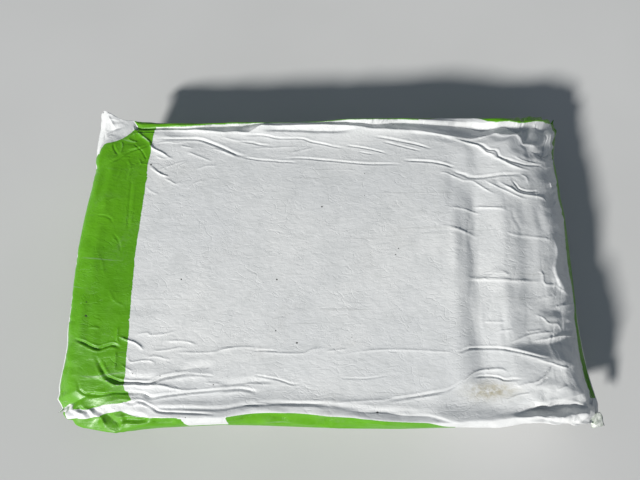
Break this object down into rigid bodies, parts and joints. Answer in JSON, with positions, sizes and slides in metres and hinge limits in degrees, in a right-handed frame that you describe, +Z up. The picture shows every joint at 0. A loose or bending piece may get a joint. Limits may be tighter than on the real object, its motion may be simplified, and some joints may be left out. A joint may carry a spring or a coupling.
{
  "type": "cement bag",
  "caption": "Filled plastic-film sack of cement lying flat: gusseted long sides, ends welded straight across, ears at the corners.",
  "frame": {"origin": "centre of the whole outline, ears included, on the floor that the sack lies on", "axes": "+X along the sack's length from the banded end to the plain end, +Y across it, +Z up out of the top panel"},
  "size_m": [0.537, 0.3524, 0.106],
  "materials": {
    "sack_film": "white polyethylene film, semi-gloss, printed with a lime green band at one end and lime green side gussets, finely wrinkled"
  },
  "bodies": {
    "root": {"sack": "sack_film"}
  },
  "joints": []
}
